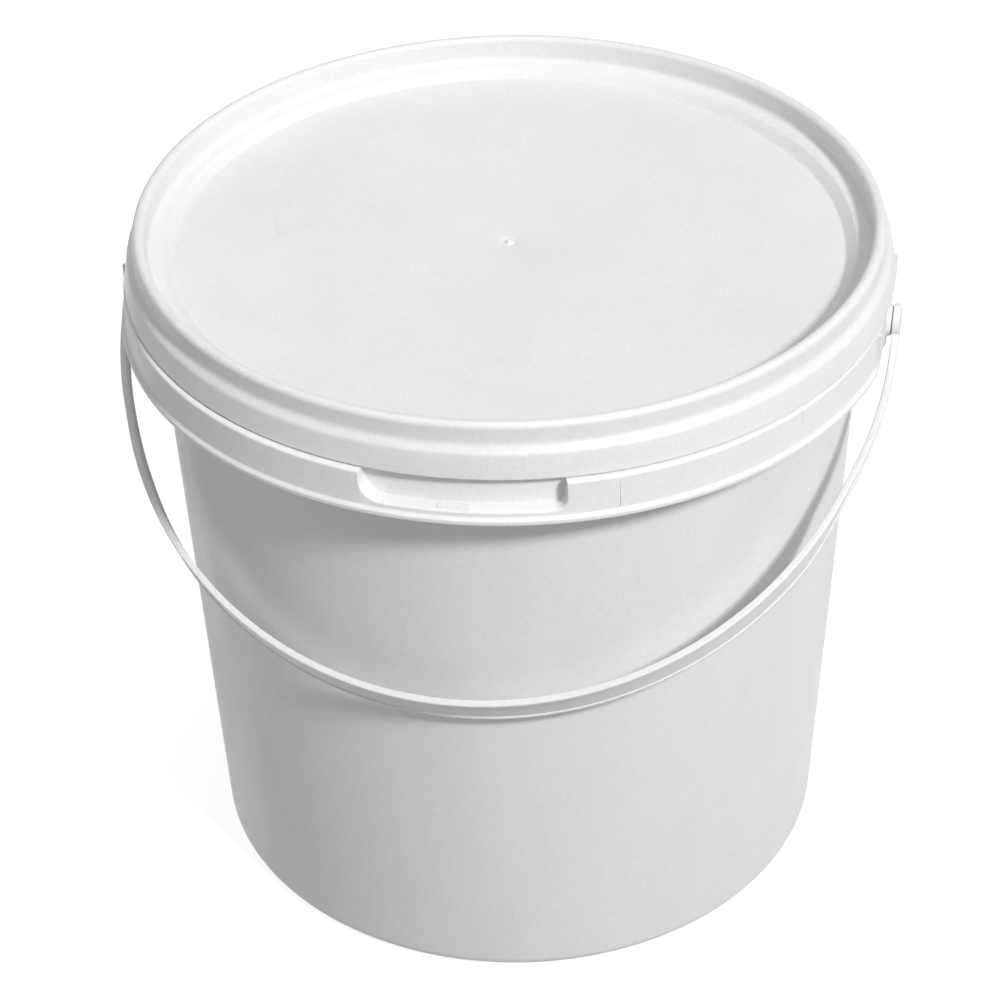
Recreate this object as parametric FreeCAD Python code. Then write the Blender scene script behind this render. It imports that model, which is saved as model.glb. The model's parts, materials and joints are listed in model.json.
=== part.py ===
"""Plastic bucket of about 5.6 litres with a press-fit lid and a swinging strap handle.

Three injection mouldings: bucket, lid and handle. Millimetres, +Z up. The origin is the
centre of the foot ring's plane. The handle's pivots lie on X, and it hangs towards -Y.
"""
import FreeCAD, Part
import math
import os

Vec = FreeCAD.Vector
ORIGIN = Vec(0, 0, 0)
UP = Vec(0, 0, 1)

# Driving dimensions of the bucket
HEIGHT = 206.0            # to the top of the fitted lid's ridge
LIP_R = 112.4             # widest point, the lip under the skirt
WALL = 1.4
BASE_R = 91.8             # outside of the wall just above the corner
NECK_R = 101.5            # outside of the tapered wall where it meets the flange
SKIRT_BOTTOM = 178.5
SKIRT_TOP = 190.3
SKIRT_R = 111.4           # outside of the skirt just above its lip
SKIRT_TOP_R = 110.6
RIM_R = 105.0             # outside of the rim that the lid's channel holds
RIM_TOP = 204.4
BEAD_R = 106.0
BEAD_Z = 195.0
FLANGE = 1.4
EDGE_CUT = 0.6
BASE_PANEL_Z = 2.2        # underside of the raised base panel
BASE_THICKNESS = 1.6
FOOT_IN_R = 83.6
BASE_CORNER = 5.0         # rounding between the foot and the wall
BASE_STEP = 2.2           # width of the slope between the foot ring and the base panel
LIP_HEIGHT = 1.4
LIP_SLOPE = 0.8
RIB_COUNT = 16
RIB_THICKNESS = 1.1
RIB_START = 4.0           # height of a rib's lower end above the skirt's
EAR_CLEARANCE = 9         # degrees from an ear's middle in which no rib stands

# Pry recess in the skirt, where a tear-off tab was, and the plain panel around it
RECESS_ANGLE = -84.0      # direction of its middle, in degrees from +X
RECESS_HALF = 14.5
RECESS_FLOOR_R = 108.4
RECESS_BOTTOM = 181.3
RECESS_CORNER = 3.4
RECESS_WALL = 1.2
PANEL_HALF = 20.6
PANEL_DEPTH = 0.4

# Ears and handle pivots
EAR_FACE = 108.0          # flat outer face of each ear, from the middle plane
EAR_THICKNESS = 1.6
EAR_INNER = EAR_FACE - EAR_THICKNESS
EAR_HALF = 29.0
PIVOT_Z = 181.5
LUG_R = 7.6
BOSS_R = 5.4
BOSS_FACE = 109.4
HOLE_R = 3.0

# Handle, drawn flat: x across, s from the pivot line towards the grip, n across the strap
HANDLE_FACE = 111.7       # outer face of the straight legs, from the middle plane
HANDLE_REACH = 127.0      # outer face at the grip, from the pivot line
GRIP_ARC_R = 109.0
GRIP_ARC_HALF = 70.0
STRAP = 2.0
WEB_INSET = 0.45
WEB = 1.2
FLANGE_DEPTH = 1.7
BEAD_DEPTH = 1.3
LEG_BEND_R = 20.0
STRAP_TOP = 1.2
LEG_LOW = -4.4
GRIP_LOW = -10.8
DEEPENS_FROM = 50.0       # the strap deepens from leg to grip between these distances
DEEPENS_TO = 74.0
DEEPENING_R = 30.0
HANDLE_DROP = 33.2        # angle of the resting handle below the horizontal
PIN_R = 2.93
PIN_HEAD_R = 3.9
PIN_HEAD = 1.3
DISC_R = 6.2

# Lid
LID_WALL = 1.1
LID_EDGE_R = 109.3
LID_EDGE_Z = 190.9
LID_PANEL_Z = 195.8
LID_PANEL_R = 95.1
RIDGE_IN_R = 102.2
RIDGE_OUT_R = 106.2
RIDGE_CORNER = 1.5
LEDGE_R = 98.0            # the ledge between the panel's edge and the ridge
LEDGE_Z = 198.4
SHOULDER_TOP = 198.1
DISH_R = 12.0             # sphere that leaves the shallow dish around the gate mark
DISH_DEPTH = 0.3
GATE_R = 0.9
GATE_HEIGHT = 0.45
FIT_GAP = 0.3
BEYOND = 2.0              # how far a cutting shape reaches past what it cuts


def rounded_outline(corners, two_flats=False):
    """Closed wire in the XZ plane through (r, z, radius) corners, each rounded by its radius.

    With two_flats a rounding is made of two chords of its arc, which turn into cones: a turned
    cone takes a tenth of a torus's facets.
    """
    count = len(corners)
    ends = []
    for i, (r, z, radius) in enumerate(corners):
        here = Vec(r, 0, z)
        back = Vec(corners[i - 1][0], 0, corners[i - 1][1]) - here
        ahead = Vec(corners[(i + 1) % count][0], 0, corners[(i + 1) % count][1]) - here
        back.normalize()
        ahead.normalize()
        half = back.getAngle(ahead) / 2
        if radius == 0:
            ends.append((here, None, here))
            continue
        reach = radius / math.tan(half)
        middle = back + ahead
        middle.normalize()
        crown = here + middle * (radius / math.sin(half) - radius)
        ends.append((here + back * reach, crown, here + ahead * reach))
    edges = []
    for i, (start, crown, stop) in enumerate(ends):
        if crown is not None and two_flats:
            edges.append(Part.LineSegment(start, crown).toShape())
            edges.append(Part.LineSegment(crown, stop).toShape())
        elif crown is not None:
            edges.append(Part.Arc(start, crown, stop).toShape())
        following = ends[(i + 1) % count][0]
        if stop.distanceToPoint(following) > 1e-6:
            edges.append(Part.LineSegment(stop, following).toShape())
    return Part.Wire(edges)


def turned(corners, start=0.0, sweep=360.0):
    """Solid of revolution about Z of a rounded outline, from a start angle through a sweep."""
    face = Part.Face(rounded_outline(corners, two_flats=True))
    solid = face.revolve(ORIGIN, UP, sweep)
    solid.rotate(ORIGIN, UP, start)
    return solid


def ring_sector(r_in, r_out, z_low, z_high, middle, half):
    """Plain block of a ring, centred on the direction middle and half degrees each way."""
    corners = [(r_in, z_low, 0), (r_out, z_low, 0), (r_out, z_high, 0), (r_in, z_high, 0)]
    return turned(corners, middle - half, 2 * half)


def bucket_shell():
    """Wall, floor, flange, skirt and rim in one turned outline."""
    rim_in = RIM_R - WALL
    skirt_in = SKIRT_R - WALL
    skirt_in_top = SKIRT_TOP_R - WALL
    flange_z = SKIRT_TOP - FLANGE
    floor_top = BASE_PANEL_Z + BASE_THICKNESS
    return turned([
        (0, BASE_PANEL_Z, 0),
        (FOOT_IN_R - BASE_STEP, BASE_PANEL_Z, 0),
        (FOOT_IN_R, 0, 0),
        (BASE_R, 0, BASE_CORNER),
        (NECK_R, flange_z, 0),
        (skirt_in_top, flange_z, 0),
        (skirt_in, SKIRT_BOTTOM, 0),
        (LIP_R, SKIRT_BOTTOM, 0),
        (LIP_R, SKIRT_BOTTOM + LIP_HEIGHT, 0),
        (SKIRT_R, SKIRT_BOTTOM + LIP_HEIGHT + LIP_SLOPE, 0),
        (SKIRT_TOP_R, SKIRT_TOP - EDGE_CUT, 0),
        (SKIRT_TOP_R - EDGE_CUT, SKIRT_TOP, 0),
        (RIM_R, SKIRT_TOP, 0),
        (RIM_R, BEAD_Z - 1.4, 0),
        (BEAD_R, BEAD_Z, 0),
        (RIM_R, BEAD_Z + 3.4, 0),
        (RIM_R, RIM_TOP, 0),
        (rim_in, RIM_TOP, 0),
        (rim_in, SKIRT_TOP, 0),
        (NECK_R - WALL, flange_z - 2.4, 0),
        (BASE_R - WALL, floor_top, 0),
        (0, floor_top, 0),
    ])


def rib(angle):
    """Gusset under the flange, between the wall and the skirt."""
    low = SKIRT_BOTTOM + RIB_START
    top = SKIRT_TOP - FLANGE / 2
    wall_middle = NECK_R - WALL / 2
    skirt_middle = SKIRT_TOP_R - WALL / 2
    corners = [(wall_middle, low, 0), (skirt_middle, low, 0), (skirt_middle, top, 0), (wall_middle, top, 0)]
    plate = Part.Face(rounded_outline(corners)).extrude(Vec(0, RIB_THICKNESS, 0))
    plate.translate(Vec(0, -RIB_THICKNESS / 2, 0))
    plate.rotate(ORIGIN, UP, angle)
    return plate


def apart(angle, other):
    """Smallest angle between two directions, in degrees."""
    return abs((angle - other + 180) % 360 - 180)


def rib_angles():
    """Even spacing, without the ribs that would stand in the recess or behind an ear."""
    step = 360 / RIB_COUNT
    angles = [step * (i + 0.5) for i in range(RIB_COUNT)]
    clear_of_ears = [a for a in angles if min(apart(a, 0), apart(a, 180)) > EAR_CLEARANCE]
    return [a for a in clear_of_ears if apart(a, RECESS_ANGLE) > RECESS_HALF + 2]


def recess_lining():
    """Blocks out the walls of the pry recess before it is cut."""
    extra = math.degrees(RECESS_WALL / RECESS_FLOOR_R)
    return ring_sector(RECESS_FLOOR_R - RECESS_WALL, SKIRT_R - 0.9, RECESS_BOTTOM - RECESS_WALL,
                       SKIRT_TOP, RECESS_ANGLE, RECESS_HALF + extra)


def recess_cutter():
    """Space of the pry recess, open outwards and upwards, with rounded lower corners."""
    block = ring_sector(RECESS_FLOOR_R, LIP_R + BEYOND, RECESS_BOTTOM, SKIRT_TOP + BEYOND,
                        RECESS_ANGLE, RECESS_HALF)
    corners = []
    for edge in block.Edges:
        straight = edge.Curve.TypeId == "Part::GeomLine"
        if straight and all(abs(v.Z - RECESS_BOTTOM) < 0.01 for v in edge.Vertexes):
            corners.append(edge)
    return block.makeFillet(RECESS_CORNER, corners)


def panel_cutter():
    """Takes the slightly lower panel around the recess out of the skirt's outside."""
    inner = SKIRT_R - PANEL_DEPTH
    inner_top = SKIRT_TOP_R - PANEL_DEPTH
    low = SKIRT_BOTTOM + LIP_HEIGHT + LIP_SLOPE + PANEL_DEPTH
    corners = [(inner, low, 0), (LIP_R + BEYOND, low, 0),
               (LIP_R + BEYOND, SKIRT_TOP + BEYOND, 0), (inner_top, SKIRT_TOP + BEYOND, 0)]
    return turned(corners, RECESS_ANGLE - PANEL_HALF, 2 * PANEL_HALF)


def across(side, start, stop):
    """Start point and direction of a cylinder along X between two distances, on one side."""
    return Vec(side * start, 0, PIVOT_Z), Vec(side * (stop - start), 0, 0)


def x_cylinder(side, radius, start, stop):
    """Cylinder about the pivot axis, between two distances from the middle plane."""
    place, direction = across(side, start, stop)
    return Part.makeCylinder(radius, direction.Length, place, direction)


def ear(side):
    """Flat plate in the skirt with a rounded lug and a boss around the pivot hole."""
    plate = Part.makeBox(EAR_THICKNESS, 2 * EAR_HALF, SKIRT_TOP - SKIRT_BOTTOM,
                         Vec(EAR_INNER, -EAR_HALF, SKIRT_BOTTOM))
    plate = plate.common(Part.makeCylinder(SKIRT_TOP_R, HEIGHT))
    if side < 0:
        plate.rotate(ORIGIN, UP, 180)
    lug = x_cylinder(side, LUG_R, EAR_INNER, EAR_FACE)
    boss = x_cylinder(side, BOSS_R, EAR_INNER, BOSS_FACE)
    return plate.fuse([lug, boss])


def make_bucket():
    shell = bucket_shell()
    depth = LIP_R + BEYOND - EAR_FACE
    width = 2 * LIP_R
    height = SKIRT_TOP - SKIRT_BOTTOM + 2 * BEYOND
    outside_ears = []
    for low in (EAR_FACE, -EAR_FACE - depth):
        outside_ears.append(Part.makeBox(depth, width, height, Vec(low, -width / 2, SKIRT_BOTTOM - BEYOND)))
    shell = shell.cut(outside_ears + [panel_cutter()])
    shell = shell.fuse([recess_lining(), ear(1), ear(-1)] + [rib(a) for a in rib_angles()])
    holes = [x_cylinder(side, HOLE_R, EAR_INNER - BEYOND, BOSS_FACE + BEYOND) for side in (1, -1)]
    return shell.cut([recess_cutter()] + holes).removeSplitter()


def make_lid():
    """Pressed-down panel, rounded ridge over the rim, shoulder and snap edge."""
    under = LID_PANEL_Z - LID_WALL
    channel_in = RIM_R - WALL - FIT_GAP
    channel_out = RIM_R + FIT_GAP
    channel_top = HEIGHT - LID_WALL
    snap_r = BEAD_R + FIT_GAP + 0.1
    lid = turned([
        (0, LID_PANEL_Z, 0),
        (LID_PANEL_R, LID_PANEL_Z, 0),
        (LEDGE_R, LEDGE_Z, 0),
        (RIDGE_IN_R, LEDGE_Z + 0.5, 0),
        (RIDGE_IN_R + 0.4, HEIGHT, RIDGE_CORNER),
        (RIDGE_OUT_R - 0.6, HEIGHT, RIDGE_CORNER),
        (RIDGE_OUT_R, SHOULDER_TOP + 2.2, 0),
        (LID_EDGE_R - 1.2, SHOULDER_TOP, 0),
        (LID_EDGE_R, LID_EDGE_Z, 0),
        (LID_EDGE_R - 0.9, LID_EDGE_Z, 0),
        (snap_r, LID_EDGE_Z + 1.2, 0),
        (snap_r + 0.8, LID_EDGE_Z + 2.4, 0),
        (channel_out, SHOULDER_TOP + 1.5, 0),
        (channel_out, channel_top, 0),
        (channel_in, channel_top, 0),
        (channel_in, LEDGE_Z - 0.7, 0),
        (LID_PANEL_R + 0.6, under, 0),
        (0, under, 0),
    ])
    dish = Part.makeSphere(DISH_R, Vec(0, 0, LID_PANEL_Z + DISH_R - DISH_DEPTH))
    gate = Part.makeCone(GATE_R, GATE_R * 0.7, GATE_HEIGHT, Vec(0, 0, LID_PANEL_Z - DISH_DEPTH))
    return lid.cut(dish).fuse(gate)


def strap_ring(inset_out, inset_in):
    """Flat U of the strap between two insets from its outer curve, in the plane of x and s."""
    half = math.radians(GRIP_ARC_HALF)

    def corners(inset):
        face = HANDLE_FACE - inset
        radius = GRIP_ARC_R - inset
        apex = HANDLE_REACH - GRIP_ARC_R + radius / math.cos(half)
        bend = apex - face * math.tan(half)
        bend_r = LEG_BEND_R - inset
        return [(face, 0, 0), (face, bend, bend_r), (0, apex, radius), (-face, bend, bend_r), (-face, 0, 0)]

    return Part.Face(rounded_outline(corners(inset_out) + corners(inset_in)[::-1]))


def strap_layer(inset_out, inset_in, depth_corners):
    """Part of the strap between two insets, with the depth along s that the outline gives."""
    thick = 2 * LIP_R
    ring = strap_ring(inset_out, inset_in).extrude(Vec(0, thick, 0))
    ring.translate(Vec(0, -thick / 2, 0))
    depth = Part.Face(rounded_outline(depth_corners))
    depth.rotate(ORIGIN, UP, 90)
    block = depth.extrude(Vec(2 * thick, 0, 0))
    block.translate(Vec(-thick, 0, 0))
    return ring.common(block)


def lower_edge(rise):
    """Corners of the strap's lower edge from a leg to the grip, moved up by rise."""
    return [(LEG_LOW + rise, -LEG_BEND_R / 4, 0), (LEG_LOW + rise, DEEPENS_FROM, DEEPENING_R),
            (GRIP_LOW + rise, DEEPENS_TO, DEEPENING_R), (GRIP_LOW + rise, HANDLE_REACH + BEYOND, 0)]


def make_handle():
    """Strap with a flange along its top, a bead along its lower edge and snap pins at its ends."""
    start = -LEG_BEND_R / 4
    end = HANDLE_REACH + BEYOND
    web = strap_layer(WEB_INSET, WEB_INSET + WEB, lower_edge(0) + [(STRAP_TOP, end, 0), (STRAP_TOP, start, 0)])
    low = STRAP_TOP - FLANGE_DEPTH
    flange = strap_layer(0, STRAP, [(low, start, 0), (low, end, 0), (STRAP_TOP, end, 0), (STRAP_TOP, start, 0)])
    bead = strap_layer(0, STRAP, lower_edge(0) + lower_edge(BEAD_DEPTH)[::-1])
    strap = web.fuse([flange, bead])
    strap.rotate(ORIGIN, Vec(1, 0, 0), 90 + HANDLE_DROP)
    strap.translate(Vec(0, 0, PIVOT_Z))
    pieces = []
    seat = EAR_INNER - FIT_GAP
    for side in (1, -1):
        pieces.append(x_cylinder(side, DISC_R, HANDLE_FACE - STRAP, HANDLE_FACE))
        pieces.append(x_cylinder(side, PIN_R, seat - PIN_HEAD / 2, HANDLE_FACE - STRAP / 2))
        pieces.append(pin_head(side, seat))
    return strap.fuse(pieces).removeSplitter()


def pin_head(side, seat):
    """Snap head behind the ear, tapered towards the wall so that it can be pressed in."""
    tip, outwards = across(side, seat - PIN_HEAD, seat)
    return Part.makeCone(PIN_R, PIN_HEAD_R, PIN_HEAD, tip, outwards)


os.makedirs("parts", exist_ok=True)
for name, shape in (("bucket", make_bucket()), ("lid", make_lid()), ("handle", make_handle())):
    shape.exportStep("parts/" + name + ".step")
    print(name, "solids", len(shape.Solids), "valid", shape.isValid(), "volume", round(shape.Volume))
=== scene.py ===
"""Looks of the white plastic bucket: moulded plastic, soft studio light and a pale floor. Metres, +Z up."""
import json
import math

import bmesh
import bpy
from mathutils import Matrix, Vector


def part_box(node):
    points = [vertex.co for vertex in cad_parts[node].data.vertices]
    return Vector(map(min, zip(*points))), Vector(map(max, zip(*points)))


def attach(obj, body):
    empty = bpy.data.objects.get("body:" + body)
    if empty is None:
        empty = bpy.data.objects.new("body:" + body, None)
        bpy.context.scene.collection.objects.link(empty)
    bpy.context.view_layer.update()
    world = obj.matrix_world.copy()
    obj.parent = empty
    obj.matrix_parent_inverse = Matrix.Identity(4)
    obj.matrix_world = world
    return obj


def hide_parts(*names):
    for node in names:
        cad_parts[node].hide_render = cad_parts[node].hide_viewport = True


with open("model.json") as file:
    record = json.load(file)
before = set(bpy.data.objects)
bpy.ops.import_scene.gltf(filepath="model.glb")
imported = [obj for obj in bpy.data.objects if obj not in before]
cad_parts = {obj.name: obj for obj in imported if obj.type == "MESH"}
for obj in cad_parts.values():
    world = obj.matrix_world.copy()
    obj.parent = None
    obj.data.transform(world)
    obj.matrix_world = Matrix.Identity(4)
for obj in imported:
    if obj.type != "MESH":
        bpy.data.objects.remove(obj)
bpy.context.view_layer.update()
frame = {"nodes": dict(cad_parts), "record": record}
BUCKET_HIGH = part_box("bucket")[1]
LID_LOW, LID_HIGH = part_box("lid")
HANDLE_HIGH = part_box("handle")[1]
MM = 0.001
PIVOT = Vector(next(j["pos_m"] for j in frame["record"]["behaviour"]["joints"] if j["type"] == "hinge"))

# Camera, placed round a point on the bucket's axis
CAMERA_AZIMUTH = 12.0
CAMERA_ELEVATION = 36.57
CAMERA_DISTANCE = 0.9666
CAMERA_LENS = 115.2
CAMERA_ROLL = -1.31
AIM_HEIGHT = 0.096
AIM_UP = 0.00734
AIM_RIGHT = -0.0043

# Light: the surroundings fade from GROUND to SKY within HORIZON of level
SKY = 0.36
GROUND = 0.3
HORIZON = 0.3
KEY_AZIMUTH = 48.0
KEY_ELEVATION = 44.0
KEY_DISTANCE = 3.0
KEY_SIZE = 0.4
KEY_POWER = 70.0
TOP_SIDE = 0.1
TOP_SIZE = 1.6
TOP_POWER = 18.0
FLOOR_HALF = 4.0
FLOOR_SHADE = 0.5
FLOOR_GLOW = 0.78

# Bucket
LIP_R = BUCKET_HIGH[1]
RIM_TOP = BUCKET_HIGH[2]
BOSS_FACE = BUCKET_HIGH[0]
WALL = 1.4 * MM
BASE_R = 91.8 * MM
BASE_CORNER = 4.6 * MM
BASE_PANEL_Z = 2.2 * MM
BASE_THICKNESS = 1.6 * MM
FOOT_IN_R = 83.6 * MM
FLARE_Z = 166 * MM        # the wall flares a little more above this height
FLARE_R = 100.3 * MM
NECK_R = 102.3 * MM
SKIRT_BOTTOM = 178.5 * MM
SKIRT_TOP = LID_LOW[2] - 0.3 * MM
SKIRT_R = LIP_R - 1.0 * MM
SKIRT_TOP_R = LIP_R - 1.3 * MM
SKIRT_OVAL = 1.8 * MM     # how much nearer the skirt is to the axis at the ears
LIP_HEIGHT = 1.4 * MM
FLANGE = 1.4 * MM
RIM_R = 105 * MM
BEAD_R = 106 * MM
BEAD_Z = 195 * MM
RIB_COUNT = 16
RIB_THICKNESS = 1.1 * MM
RIB_RAISED = 4 * MM       # from the skirt's lower edge to the ribs'
NO_RIB_AT_EAR = 9         # degrees each way from an ear's middle that stay free
NO_RIB_AT_RECESS = 2      # degrees past the recess that stay free
SHELF_DROP = 2.4 * MM     # from the flange down to where the wall bends into it
EAR_FACE = BOSS_FACE - 1.4 * MM
EAR_INNER = EAR_FACE - 1.6 * MM
LUG_R = 7.6 * MM
BOSS_R = 4.6 * MM
HOLE_R = 3.0 * MM

# Pry recess
RECESS_ANGLE = -85.1
RECESS_HALF = 14.2
RECESS_FLOOR_R = 106.9 * MM
RECESS_BOTTOM = 182.2 * MM
RECESS_LEFT_CORNER = 6.0 * MM
RECESS_RIGHT_CORNER = 3.4 * MM
RECESS_EASE = 0.6 * MM
RECESS_WALL = 1.2 * MM
SEAM_OFFSET = 21.3        # degrees from the recess to the moulding seam at each side
SEAM_DEPTH = 0.15 * MM    # of the right seam, into the skirt's upper edge
FAINT_SEAM_DEPTH = -3 * SEAM_DEPTH    # the left seam only marks the skirt's lower part
SEAM_HALF = 0.13
STUB_OFFSET = -1.2        # degrees from the recess's middle
STUB_HALF = 2.2           # degrees
STUB_SUNK = 0.4 * MM
STUB_HEIGHT = 0.3 * MM
STUB_DEPTH = 1.2 * MM
STUB_RAGGED = 0.22 * MM
STUB_BEVEL = 0.12 * MM

# Handle, drawn flat: across, reach from the pivot line, and depth across the strap
HANDLE_FACE = HANDLE_HIGH[0]
HANDLE_REACH = 127 * MM
GRIP_ARC_R = 109 * MM
GRIP_ARC_HALF = 70.0
LEG_BEND_R = 110 * MM
STRAP = 2.0 * MM
WEB_INSET = 0.45 * MM
WEB = 1.2 * MM
FLANGE_DEPTH = 1.7 * MM
BEAD_DEPTH = 1.3 * MM
STRAP_TOP = 1.2 * MM
LEG_LOW = -4.4 * MM
GRIP_LOW = -10.8 * MM
DEEPENS_FROM = 48 * MM
DEEPENS_TO = 76 * MM
HANDLE_DROP = 33.2
PIN_R = 2.93 * MM
PIN_HEAD_R = 3.9 * MM
DISC_R = 4.9 * MM

# Lid
HEIGHT = LID_HIGH[2]
LID_EDGE_R = LID_HIGH[0]
LID_EDGE_Z = LID_LOW[2]
LID_WALL = 1.1 * MM
PANEL_Z = 195.8 * MM
PANEL_R = 95.1 * MM
LEDGE_R = 98 * MM
LEDGE_Z = 198.4 * MM
RIDGE_IN_R = 102.2 * MM
RIDGE_OUT_R = 106.2 * MM
SHOULDER_TOP = 198.1 * MM
FIT_GAP = 0.3 * MM
SMALL_MARK = (-62.4 * MM, -3.3 * MM)
SMALL_MARK_R = 4.7 * MM
SMALL_MARK_HEIGHT = 0.07 * MM
LARGE_MARK = (4.3 * MM, -64.7 * MM)
LARGE_MARK_R = 7.5 * MM
LARGE_MARK_HEIGHT = 0.04 * MM
MARK_HALF = 0.14 * MM

SEGMENTS = 360
SMALL_SEGMENTS = 72
MARK_SEGMENTS = 96
ARC_STEP = 12.0           # most degrees between points on a rounded corner
LONGEST_STEP = 2.5 * MM   # most distance between points on a curve


def link(piece):
    """Puts a new object into the scene's collection."""
    bpy.context.scene.collection.objects.link(piece)
    return piece


def camera_axes():
    """Right, up and back directions of a level camera at the view's azimuth and elevation."""
    azimuth = math.radians(CAMERA_AZIMUTH)
    elevation = math.radians(CAMERA_ELEVATION)
    level = Vector((math.sin(azimuth), -math.cos(azimuth), 0)) * math.cos(elevation)
    back = level + Vector((0, 0, math.sin(elevation)))
    right = Vector((math.cos(azimuth), math.sin(azimuth), 0))
    return right, back.cross(right), back


def make_camera():
    """Camera at the viewing angle, aimed a little off the axis and rolled slightly."""
    right, up, back = camera_axes()
    centre = Vector((0, 0, AIM_HEIGHT))
    place = centre + back * CAMERA_DISTANCE
    back = (place - centre - up * AIM_UP - right * AIM_RIGHT).normalized()
    turn = Matrix.Rotation(math.radians(CAMERA_ROLL), 3, back)
    right = turn @ Vector((0, 0, 1)).cross(back).normalized()
    up = back.cross(right)
    data = bpy.data.cameras.new("view")
    data.lens = CAMERA_LENS
    data.sensor_width = 36
    data.clip_start = 0.05
    data.clip_end = 50
    camera = link(bpy.data.objects.new("view", data))
    camera.matrix_world = Matrix.Translation(place) @ Matrix((right, up, back)).transposed().to_4x4()
    bpy.context.scene.camera = camera


def area_light(name, place, aim, size, power):
    """Soft square light that faces a point."""
    data = bpy.data.lights.new(name, "AREA")
    data.size = size
    data.energy = power
    lamp = link(bpy.data.objects.new(name, data))
    lamp.location = place
    lamp.rotation_euler = (Vector(aim) - Vector(place)).to_track_quat("-Z", "Y").to_euler()


def make_light():
    """Pale surroundings, one soft key from the camera's right and a weak light from the top."""
    world = bpy.data.worlds.new("studio")
    bpy.context.scene.world = world
    world.use_nodes = True
    tree = world.node_tree
    background = tree.nodes["Background"]
    direction = tree.nodes.new("ShaderNodeTexCoord")
    split = tree.nodes.new("ShaderNodeSeparateXYZ")
    tree.links.new(direction.outputs["Generated"], split.inputs["Vector"])
    blend = add(tree, "ShaderNodeMapRange", From_Min=-HORIZON, From_Max=HORIZON, To_Min=GROUND, To_Max=SKY)
    tree.links.new(split.outputs["Z"], blend.inputs["Value"])
    tree.links.new(blend.outputs["Result"], background.inputs["Strength"])
    background.inputs["Color"].default_value = (1, 1, 1, 1)
    azimuth = math.radians(KEY_AZIMUTH)
    elevation = math.radians(KEY_ELEVATION)
    level = Vector((math.sin(azimuth), -math.cos(azimuth), 0)) * math.cos(elevation)
    aim = Vector((0, 0, HEIGHT / 2))
    place = aim + (level + Vector((0, 0, math.sin(elevation)))) * KEY_DISTANCE
    area_light("key", place, aim, KEY_SIZE, KEY_POWER)
    area_light("top", (-TOP_SIDE, TOP_SIDE, HEIGHT + KEY_DISTANCE), aim, TOP_SIZE, TOP_POWER)
    bpy.context.scene.view_settings.view_transform = "Standard"


def make_floor():
    """Plain white floor, as bright as a light table so that it stays white in the object's shadow."""
    mesh = bpy.data.meshes.new("floor")
    corners = [(x * FLOOR_HALF, y * FLOOR_HALF, 0) for x, y in ((-1, -1), (1, -1), (1, 1), (-1, 1))]
    mesh.from_pydata(corners, [], [(0, 1, 2, 3)])
    floor = link(bpy.data.objects.new("floor", mesh))
    floor.visible_diffuse = False
    material = bpy.data.materials.new("floor")
    material.use_nodes = True
    shader = material.node_tree.nodes["Principled BSDF"]
    shader.inputs["Base Color"].default_value = (FLOOR_SHADE, FLOOR_SHADE, FLOOR_SHADE, 1)
    shader.inputs["Roughness"].default_value = 0.9
    shader.inputs["Emission Color"].default_value = (1, 1, 1, 1)
    shader.inputs["Emission Strength"].default_value = FLOOR_GLOW
    mesh.materials.append(material)


# Outlines and meshes

def rounded(corners, closed=True):
    """Points along (a, b, radius) corners, each corner rounded by its radius."""
    count = len(corners)
    points = []
    for i, (a, b, radius) in enumerate(corners):
        here = Vector((a, b))
        is_end = not closed and i in (0, count - 1)
        if radius == 0 or is_end:
            points.append(here)
            continue
        back = (Vector(corners[i - 1][:2]) - here).normalized()
        ahead = (Vector(corners[(i + 1) % count][:2]) - here).normalized()
        half = back.angle(ahead) / 2
        centre = here + (back + ahead).normalized() * (radius / math.sin(half))
        start = here + back * (radius / math.tan(half)) - centre
        turn = math.pi - 2 * half
        sign = 1 if back.x * ahead.y - back.y * ahead.x < 0 else -1
        steps = max(2, math.ceil(math.degrees(turn) / ARC_STEP), math.ceil(turn * radius / LONGEST_STEP))
        for k in range(steps + 1):
            angle = sign * turn * k / steps
            points.append(centre + Matrix.Rotation(angle, 2) @ start)
    return points


def new_piece(name, form, material, body, place=None):
    """Object from a bmesh, with its material and body; place moves its points."""
    if place:
        bmesh.ops.transform(form, matrix=place, verts=form.verts)
    bmesh.ops.recalc_face_normals(form, faces=form.faces)
    mesh = bpy.data.meshes.new(name)
    form.to_mesh(mesh)
    form.free()
    piece = link(bpy.data.objects.new(name, mesh))
    mesh.materials.append(material)
    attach(piece, body)
    return piece


def smooth(piece, angle=32):
    """Smooth shading, with edges sharper than the angle kept crisp."""
    piece.data.shade_smooth()
    piece.data.set_sharp_from_angle(angle=math.radians(angle))


def turned(outline, segments=SEGMENTS, flat_at=None, closed=True):
    """Turns (r, z) points about Z.

    flat_at gives a point's greatest distance from the YZ plane, or None. Points that have one
    are also drawn in a little towards the ears, because the skirt is slightly oval.
    """
    form = bmesh.new()
    rings = []
    for index, (r, z) in enumerate(outline):
        if r < 1e-7:
            rings.append([form.verts.new((0, 0, z))])
            continue
        ring = []
        for k in range(segments):
            angle = math.tau * k / segments
            c = math.cos(angle)
            s = math.sin(angle)
            reach = r
            if flat_at and flat_at[index]:
                reach = min(r - SKIRT_OVAL * c ** 4, flat_at[index] / max(abs(c), 0.5))
            ring.append(form.verts.new((reach * c, reach * s, z)))
        rings.append(ring)
    pairs = list(zip(rings, rings[1:] + rings[:1])) if closed else list(zip(rings, rings[1:]))
    for low, high in pairs:
        if len(low) == 1 and len(high) == 1:
            continue
        for k in range(segments):
            after = (k + 1) % segments
            corners = [low[k % len(low)], low[after % len(low)]]
            corners += [high[after % len(high)], high[k % len(high)]]
            form.faces.new(list(dict.fromkeys(corners)))
    return form


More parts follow.
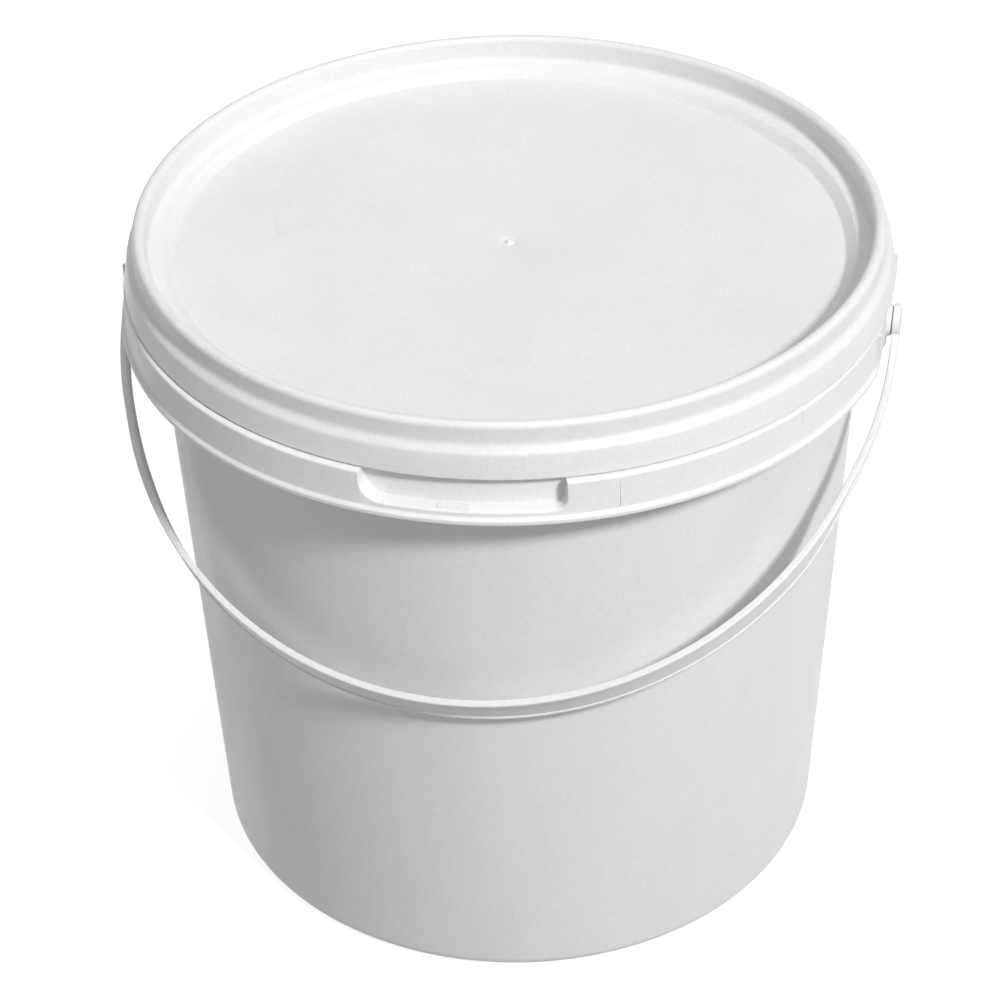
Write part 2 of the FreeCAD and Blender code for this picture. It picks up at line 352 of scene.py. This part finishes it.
def sector(r_in, r_out, z_low, z_high, middle, half, steps):
    """Block of a ring, centred on the direction middle and half degrees each way."""
    form = bmesh.new()
    rows = []
    for k in range(steps + 1):
        angle = math.radians(middle - half + 2 * half * k / steps)
        c = math.cos(angle)
        s = math.sin(angle)
        rows.append([form.verts.new((r * c, r * s, z))
                     for r, z in ((r_in, z_low), (r_out, z_low), (r_out, z_high), (r_in, z_high))])
    for now, then in zip(rows, rows[1:]):
        for i in range(4):
            form.faces.new((now[i], now[(i + 1) % 4], then[(i + 1) % 4], then[i]))
    form.faces.new(rows[0])
    form.faces.new(rows[-1][::-1])
    return form


def carve(piece, form, operation):
    """Applies a boolean with the form to the piece."""
    bmesh.ops.recalc_face_normals(form, faces=form.faces)
    mesh = bpy.data.meshes.new("tool")
    form.to_mesh(mesh)
    form.free()
    tool = link(bpy.data.objects.new("tool", mesh))
    modifier = piece.modifiers.new("carve", "BOOLEAN")
    modifier.operation = operation
    modifier.solver = "EXACT"
    modifier.object = tool
    shaped = bpy.data.meshes.new_from_object(piece.evaluated_get(bpy.context.evaluated_depsgraph_get()))
    piece.modifiers.clear()
    old = piece.data
    piece.data = shaped
    shaped.name = piece.name
    bpy.data.meshes.remove(old)
    bpy.data.objects.remove(tool)
    bpy.data.meshes.remove(mesh)


# Bucket

def bucket_outline():
    """The bucket's whole section, up the outside and down the inside, as rounded points."""
    flange_z = SKIRT_TOP - FLANGE
    skirt_in = SKIRT_R - WALL
    floor_top = BASE_PANEL_Z + BASE_THICKNESS
    rim_in = RIM_R - WALL
    return rounded([
        (0, BASE_PANEL_Z, 0),
        (FOOT_IN_R - 2.2 * MM, BASE_PANEL_Z, 1.0 * MM),
        (FOOT_IN_R, 0, 0.5 * MM),
        (BASE_R, 0, BASE_CORNER),
        (FLARE_R, FLARE_Z, 60 * MM),
        (NECK_R, flange_z - 7 * MM, 8 * MM),
        (NECK_R, flange_z, 1.0 * MM),
        (SKIRT_TOP_R - WALL, flange_z, 0.8 * MM),
        (skirt_in, SKIRT_BOTTOM, 0.35 * MM),
        (LIP_R, SKIRT_BOTTOM, 0.5 * MM),
        (LIP_R, SKIRT_BOTTOM + LIP_HEIGHT, 0.5 * MM),
        (SKIRT_R, SKIRT_BOTTOM + LIP_HEIGHT + 0.8 * MM, 0.6 * MM),
        (SKIRT_TOP_R, SKIRT_TOP, 0.7 * MM),
        (RIM_R, SKIRT_TOP, 0.6 * MM),
        (RIM_R, BEAD_Z - 1.4 * MM, 0.5 * MM),
        (BEAD_R, BEAD_Z, 0.6 * MM),
        (RIM_R, BEAD_Z + 3.4 * MM, 1.2 * MM),
        (RIM_R, RIM_TOP, 0.6 * MM),
        (rim_in, RIM_TOP, 0.6 * MM),
        (rim_in, SKIRT_TOP, 2.0 * MM),
        (NECK_R - WALL, flange_z - SHELF_DROP, 2.0 * MM),
        (NECK_R - WALL, flange_z - 7 * MM, 8 * MM),
        (FLARE_R - WALL, FLARE_Z, 60 * MM),
        (BASE_R - WALL, floor_top, 3.0 * MM),
        (0, floor_top, 0),
    ])


def make_bucket(material):
    """Wall, skirt and rim in one turned mesh, with flats for the ears, pry recess and seams."""
    points = bucket_outline()
    top_in = SKIRT_TOP_R - WALL
    limits = []
    outside = False
    for r, z in points:
        outside = outside or r > LIP_R - 0.2 * MM
        in_skirt = r > RIM_R + 1.5 * MM and z < SKIRT_TOP + 0.1 * MM
        limits.append((EAR_FACE if outside else EAR_INNER) if in_skirt else None)
    form = turned(points, flat_at=limits)
    piece = new_piece("bucket_body", form, material, "bucket")
    extra = math.degrees(RECESS_WALL / RECESS_FLOOR_R)
    lining = sector(RECESS_FLOOR_R - RECESS_WALL, SKIRT_TOP_R - 0.5 * MM, RECESS_BOTTOM - RECESS_WALL,
                    SKIRT_TOP - 0.1 * MM, RECESS_ANGLE, RECESS_HALF + extra, 40)
    carve(piece, lining, "UNION")
    carve(piece, recess_cutter(), "DIFFERENCE")
    low = SKIRT_BOTTOM + LIP_HEIGHT + 1.2 * MM
    for side, depth in ((1, SEAM_DEPTH), (-1, FAINT_SEAM_DEPTH)):
        seam = sector(SKIRT_TOP_R - depth, LIP_R + 1 * MM, low, SKIRT_TOP + 1 * MM,
                      RECESS_ANGLE + side * SEAM_OFFSET, SEAM_HALF, 1)
        carve(piece, seam, "DIFFERENCE")
    smooth(piece)
    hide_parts("bucket")
    return piece


def recess_cutter():
    """Space of the pry recess: layers of one rounded window that widen where they reach the outside."""
    half = math.radians(RECESS_HALF) * RECESS_FLOOR_R
    layers = [(RECESS_FLOOR_R, -0.5 * MM), (RECESS_FLOOR_R + 0.15 * MM, -0.15 * MM),
              (RECESS_FLOOR_R + 0.5 * MM, 0), (SKIRT_R - RECESS_EASE, 0),
              (SKIRT_R - 0.25 * RECESS_EASE, 0.35 * RECESS_EASE),
              (SKIRT_R + 0.2 * RECESS_EASE, RECESS_EASE), (LIP_R + 2 * MM, RECESS_EASE)]
    high = SKIRT_TOP + 1.5 * MM
    form = bmesh.new()
    loops = []
    for r, grow in layers:
        low = RECESS_BOTTOM - grow
        reach = half + grow
        window = rounded([(-reach, low, RECESS_LEFT_CORNER), (reach, low, RECESS_RIGHT_CORNER),
                          (reach, high, 0), (-reach, high, 0)])
        bottom = [p for p in window if p.y < high - 1e-6]
        left = [p for p in bottom if p.x < 0]
        right = [p for p in bottom if p.x > 0]
        inner = [Vector((left[-1].x + (right[0].x - left[-1].x) * k / 30, low)) for k in range(1, 30)]
        columns = left + inner + right
        rows = []
        for y_of in (lambda p: p.y, lambda p: high):
            row = []
            for p in columns:
                angle = math.radians(RECESS_ANGLE) + p.x / RECESS_FLOOR_R
                row.append(form.verts.new((r * math.cos(angle), r * math.sin(angle), y_of(p))))
            rows.append(row)
        loops.append(rows)
    for bottom, top in (loops[0], loops[-1]):
        for i in range(len(bottom) - 1):
            form.faces.new((bottom[i], bottom[i + 1], top[i + 1], top[i]))
    for now, then in zip(loops, loops[1:]):
        ring_now = now[0] + now[1][::-1]
        ring_then = then[0] + then[1][::-1]
        count = len(ring_now)
        for i in range(count):
            after = (i + 1) % count
            form.faces.new((ring_now[i], ring_now[after], ring_then[after], ring_then[i]))
    return form


def along_x(side):
    """Turns a form made about Z so that it lies along X through the pivot, on one side."""
    return Matrix.Translation(PIVOT) @ Matrix.Rotation(side * math.pi / 2, 4, "Y")


def make_ear(side, name, material):
    """Rounded lug below the skirt and a boss round the pivot hole."""
    outline = rounded([
        (HOLE_R, EAR_INNER, 0.15 * MM),
        (LUG_R, EAR_INNER, 0.3 * MM),
        (LUG_R, EAR_FACE + 0.02 * MM, 0.3 * MM),
        (BOSS_R, EAR_FACE + 0.02 * MM, 0.4 * MM),
        (BOSS_R - 0.2 * MM, BOSS_FACE, 0.4 * MM),
        (HOLE_R, BOSS_FACE, 0.2 * MM),
    ])
    piece = new_piece(name, turned(outline, SMALL_SEGMENTS), material, "bucket", along_x(side))
    smooth(piece)
    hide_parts("bucket")


def apart(angle, other):
    """Smallest angle between two directions, in degrees."""
    return abs((angle - other + 180) % 360 - 180)


def make_ribs(material):
    """Gussets under the flange, between the wall and the skirt."""
    form = bmesh.new()
    low = SKIRT_BOTTOM + RIB_RAISED
    top = SKIRT_TOP - FLANGE / 2
    r_in = NECK_R - WALL / 2
    r_out = SKIRT_TOP_R - WALL / 2
    profile = (
        (r_in, low),
        (r_out, low),
        (r_out, top),
        (RIM_R - WALL / 2, top),
        (r_in, SKIRT_TOP - FLANGE - SHELF_DROP),
    )
    count = len(profile)
    for i in range(RIB_COUNT):
        angle = 360 / RIB_COUNT * (i + 0.5)
        at_ear = min(apart(angle, 0), apart(angle, 180)) < NO_RIB_AT_EAR
        at_recess = apart(angle, RECESS_ANGLE) < RECESS_HALF + NO_RIB_AT_RECESS
        if at_ear or at_recess:
            continue
        turn = Matrix.Rotation(math.radians(angle), 4, "Z")
        near = [form.verts.new(turn @ Vector((r, -RIB_THICKNESS / 2, z))) for r, z in profile]
        far = [form.verts.new(turn @ Vector((r, RIB_THICKNESS / 2, z))) for r, z in profile]
        form.faces.new(near)
        form.faces.new(far[::-1])
        for k in range(count):
            after = (k + 1) % count
            form.faces.new((near[k], far[k], far[after], near[after]))
    piece = new_piece("skirt_ribs", form, material, "bucket")
    smooth(piece)
    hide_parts("bucket")


# Lid

def make_lid(material):
    """Pressed-down panel, rounded ridge over the rim, shoulder and snap edge."""
    under = PANEL_Z - LID_WALL
    channel_in = RIM_R - WALL - FIT_GAP
    channel_out = RIM_R + FIT_GAP
    channel_top = HEIGHT - LID_WALL
    snap_r = BEAD_R + FIT_GAP + 0.1 * MM
    dish = [(0, PANEL_Z + 0.45 * MM, 0), (0.7 * MM, PANEL_Z + 0.4 * MM, 0.3 * MM),
            (1.1 * MM, PANEL_Z - 0.35 * MM, 0.2 * MM), (1.9 * MM, PANEL_Z - 0.35 * MM, 0.6 * MM),
            (3.0 * MM, PANEL_Z, 1.5 * MM)]
    outline = rounded(dish + [
        (PANEL_R, PANEL_Z, 1.2 * MM),
        (LEDGE_R, LEDGE_Z, 1.4 * MM),
        (RIDGE_IN_R, LEDGE_Z + 0.5 * MM, 1.6 * MM),
        (RIDGE_IN_R + 0.4 * MM, HEIGHT, 1.7 * MM),
        (RIDGE_OUT_R - 0.1 * MM, HEIGHT, 1.6 * MM),
        (RIDGE_OUT_R - 0.2 * MM, SHOULDER_TOP + 1.9 * MM, 2.2 * MM),
        (LID_EDGE_R - 1.2 * MM, SHOULDER_TOP, 2.0 * MM),
        (LID_EDGE_R, LID_EDGE_Z, 0.35 * MM),
        (LID_EDGE_R - 0.9 * MM, LID_EDGE_Z, 0.3 * MM),
        (snap_r, LID_EDGE_Z + 1.2 * MM, 0.3 * MM),
        (snap_r + 0.8 * MM, LID_EDGE_Z + 2.4 * MM, 0.4 * MM),
        (channel_out, SHOULDER_TOP + 1.5 * MM, 0.8 * MM),
        (channel_out, channel_top, 0.6 * MM),
        (channel_in, channel_top, 0.6 * MM),
        (channel_in, LEDGE_Z - 0.7 * MM, 0.8 * MM),
        (PANEL_R + 0.6 * MM, under, 1.2 * MM),
        (0, under, 0),
    ])
    piece = new_piece("lid_shell", turned(outline), material, "lid")
    smooth(piece)
    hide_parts("lid")


def make_mark(name, place, radius, height, material):
    """Faint round witness line of a mould pin in the lid's panel."""
    sunk = PANEL_Z - 0.1 * MM
    top = PANEL_Z + height
    outline = [(radius - MARK_HALF, sunk), (radius + MARK_HALF, sunk),
               (radius + 0.6 * MARK_HALF, top), (radius - 0.6 * MARK_HALF, top)]
    form = turned(outline, MARK_SEGMENTS)
    piece = new_piece(name, form, material, "lid", Matrix.Translation((*place, 0)))
    smooth(piece)
    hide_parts("lid")


def make_stub(material):
    """Torn end of the web that held the tear-off tab, on the recess's lower side."""
    low = RECESS_BOTTOM - STUB_SUNK
    high = RECESS_BOTTOM + STUB_HEIGHT
    middle = RECESS_ANGLE + STUB_OFFSET
    form = sector(RECESS_FLOOR_R + 1.0 * MM, SKIRT_R - STUB_DEPTH, low, high, middle, STUB_HALF, 8)
    bmesh.ops.recalc_face_normals(form, faces=form.faces)
    for vert in form.verts:
        ripple = math.sin(vert.co.x * 2600) * math.cos(vert.co.y * 1900 + vert.co.x * 900)
        if vert.co.z > (low + high) / 2:
            vert.co.z += STUB_RAGGED * ripple
    bmesh.ops.bevel(form, geom=form.edges[:], offset=STUB_BEVEL, segments=2, affect="EDGES",
                    clamp_overlap=True)
    piece = new_piece("tab_stub", form, material, "bucket")
    smooth(piece)
    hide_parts("bucket")


# Handle

def strap_line():
    """Outer curve of the strap from one pivot to the other, as (across, reach) points."""
    half = math.radians(GRIP_ARC_HALF)
    apex = HANDLE_REACH - GRIP_ARC_R + GRIP_ARC_R / math.cos(half)
    bend = apex - HANDLE_FACE * math.tan(half)
    line = rounded([(HANDLE_FACE, 0, 0), (HANDLE_FACE, bend, LEG_BEND_R), (0, apex, GRIP_ARC_R),
                    (-HANDLE_FACE, bend, LEG_BEND_R), (-HANDLE_FACE, 0, 0)], closed=False)
    fine = [line[0]]
    for start, stop in zip(line, line[1:]):
        steps = max(1, math.ceil((stop - start).length / LONGEST_STEP))
        fine.extend(start.lerp(stop, (k + 1) / steps) for k in range(steps))
    return fine


def strap_section(low):
    """Section of the strap: inset from the outer face, and depth down to the lower edge."""
    soft = 0.3 * MM
    web_in = WEB_INSET + WEB
    return rounded([
        (0, STRAP_TOP, 0.45 * MM),
        (0, STRAP_TOP - FLANGE_DEPTH, soft),
        (WEB_INSET, STRAP_TOP - FLANGE_DEPTH - 0.35 * MM, soft),
        (WEB_INSET, low + BEAD_DEPTH + 0.3 * MM, soft),
        (0, low + BEAD_DEPTH, soft),
        (0, low, 0.4 * MM),
        (STRAP, low, 0.4 * MM),
        (STRAP, low + BEAD_DEPTH, soft * 0.5),
        (web_in, low + BEAD_DEPTH + 0.3 * MM, soft * 0.5),
        (web_in, STRAP_TOP - FLANGE_DEPTH - 0.35 * MM, soft * 0.5),
        (STRAP, STRAP_TOP - FLANGE_DEPTH, soft * 0.5),
        (STRAP, STRAP_TOP, 0.45 * MM),
    ])


def handle_place():
    """Lays the flat handle at its resting angle, on the pivots."""
    return Matrix.Translation(PIVOT) @ Matrix.Rotation(math.radians(90 + HANDLE_DROP), 4, "X")


def make_strap(material):
    """The strap with its top flange, web and lower bead, swept along its U."""
    line = strap_line()
    form = bmesh.new()
    loops = []
    for i, here in enumerate(line):
        before = line[max(i - 1, 0)]
        after = line[min(i + 1, len(line) - 1)]
        tangent = (after - before).normalized()
        inward = Vector((-tangent.y, tangent.x))
        share = min(max((here.y - DEEPENS_FROM) / (DEEPENS_TO - DEEPENS_FROM), 0), 1)
        share = share * share * (3 - 2 * share)
        low = LEG_LOW + (GRIP_LOW - LEG_LOW) * share
        loop = []
        for inset, depth in strap_section(low):
            flat = here + inward * inset
            loop.append(form.verts.new((flat.x, depth, flat.y)))
        loops.append(loop)
    count = len(loops[0])
    for now, then in zip(loops, loops[1:]):
        for i in range(count):
            form.faces.new((now[i], now[(i + 1) % count], then[(i + 1) % count], then[i]))
    form.faces.new(loops[0])
    form.faces.new(loops[-1][::-1])
    piece = new_piece("handle_strap", form, material, "handle", handle_place())
    smooth(piece)
    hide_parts("handle")


def make_pivot(side, name, material):
    """Disc at the strap's end, with its pin and the snap head behind the ear."""
    seat = EAR_INNER - FIT_GAP
    back = HANDLE_FACE - STRAP
    outline = rounded([
        (0, seat - 1.3 * MM, 0),
        (PIN_R, seat - 1.3 * MM, 0.2 * MM),
        (PIN_HEAD_R, seat - 0.2 * MM, 0.2 * MM),
        (PIN_HEAD_R, seat, 0.1 * MM),
        (PIN_R, seat, 0),
        (PIN_R, back, 0),
        (DISC_R, back, 0.3 * MM),
        (DISC_R, HANDLE_FACE, 0.5 * MM),
        (0, HANDLE_FACE, 0),
    ], closed=False)
    form = turned(outline, SMALL_SEGMENTS, closed=False)
    piece = new_piece(name, form, material, "handle", along_x(side))
    smooth(piece)
    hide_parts("handle")


# Materials

def add(tree, kind, **values):
    """New node with the given inputs set by name."""
    node = tree.nodes.new(kind)
    for key, value in values.items():
        node.inputs[key.replace("_", " ")].default_value = value
    return node


def blotches(tree, place, scale, detail, low, high):
    """Noise in object space, stretched so that its usual range runs from low to high."""
    noise = add(tree, "ShaderNodeTexNoise", Scale=scale, Detail=detail, Roughness=0.55)
    tree.links.new(place, noise.inputs["Vector"])
    spread = add(tree, "ShaderNodeMapRange", From_Min=0.32, From_Max=0.68, To_Min=low, To_Max=high)
    tree.links.new(noise.outputs["Fac"], spread.inputs["Value"])
    return spread.outputs["Result"]


def plastic(name, shade, roughness, flow=(1, 1, 1)):
    """White moulded polypropylene: slight clouding, satin patches, fine texture and light scuffs."""
    material = bpy.data.materials.new(name)
    material.use_nodes = True
    tree = material.node_tree
    shader = tree.nodes["Principled BSDF"]
    place = add(tree, "ShaderNodeTexCoord").outputs["Object"]
    stretch = add(tree, "ShaderNodeMapping", Scale=flow)
    tree.links.new(place, stretch.inputs["Vector"])

    cloud = blotches(tree, stretch.outputs["Vector"], 28, 3, 0, 1)
    speck = blotches(tree, place, 900, 2, 0, 1)
    tint = tree.nodes.new("ShaderNodeMix")
    tint.data_type = "RGBA"
    tint.inputs["A"].default_value = (shade * 0.955, shade * 0.957, shade * 0.955, 1)
    tint.inputs["B"].default_value = (shade, shade, shade * 0.995, 1)
    tree.links.new(cloud, tint.inputs["Factor"])
    grain = tree.nodes.new("ShaderNodeMix")
    grain.data_type = "RGBA"
    grain.blend_type = "MULTIPLY"
    grain.inputs["B"].default_value = (0.95, 0.95, 0.95, 1)
    tree.links.new(speck, grain.inputs["Factor"])
    tree.links.new(tint.outputs["Result"], grain.inputs["A"])
    tree.links.new(grain.outputs["Result"], shader.inputs["Base Color"])

    satin = blotches(tree, stretch.outputs["Vector"], 60, 4, roughness - 0.06, roughness + 0.08)
    tree.links.new(satin, shader.inputs["Roughness"])

    scuff = add(tree, "ShaderNodeTexNoise", Scale=240, Detail=5, Roughness=0.7, Distortion=1.5)
    tree.links.new(stretch.outputs["Vector"], scuff.inputs["Vector"])
    fine = add(tree, "ShaderNodeTexNoise", Scale=2600, Detail=2)
    tree.links.new(place, fine.inputs["Vector"])
    skin = add(tree, "ShaderNodeBump", Strength=0.22, Distance=0.00006)
    tree.links.new(scuff.outputs["Fac"], skin.inputs["Height"])
    pores = add(tree, "ShaderNodeBump", Strength=0.3, Distance=0.00003)
    tree.links.new(fine.outputs["Fac"], pores.inputs["Height"])
    tree.links.new(skin.outputs["Normal"], pores.inputs["Normal"])
    tree.links.new(pores.outputs["Normal"], shader.inputs["Normal"])

    shader.inputs["IOR"].default_value = 1.49
    shader.inputs["Specular IOR Level"].default_value = 0.42
    shader.inputs["Subsurface Weight"].default_value = 0.12
    shader.inputs["Subsurface Radius"].default_value = (1, 1, 1)
    shader.inputs["Subsurface Scale"].default_value = 0.0015
    return material


make_camera()
make_light()
make_floor()
# Three copies of one white plastic. The lid's shade is a little lower, painted shade that tones down its
# well-lit top. The handle's is a little higher, painted light on a part the lamps reach less.
bucket_plastic = plastic("bucket_plastic", 0.84, 0.42, (1, 1, 0.35))
lid_plastic = plastic("lid_plastic", 0.81, 0.36)
handle_plastic = plastic("handle_plastic", 0.85, 0.4)
make_bucket(bucket_plastic)
make_ear(1, "ear_right", bucket_plastic)
make_ear(-1, "ear_left", bucket_plastic)
make_ribs(bucket_plastic)
make_stub(bucket_plastic)
make_lid(lid_plastic)
make_mark("pin_mark_small", SMALL_MARK, SMALL_MARK_R, SMALL_MARK_HEIGHT, lid_plastic)
make_mark("pin_mark_large", LARGE_MARK, LARGE_MARK_R, LARGE_MARK_HEIGHT, lid_plastic)
make_strap(handle_plastic)
make_pivot(1, "pivot_right", handle_plastic)
make_pivot(-1, "pivot_left", handle_plastic)
for node, material in (("bucket", bucket_plastic), ("lid", lid_plastic), ("handle", handle_plastic)):
    mesh = frame["nodes"][node].data
    mesh.materials.clear()
    mesh.materials.append(material)
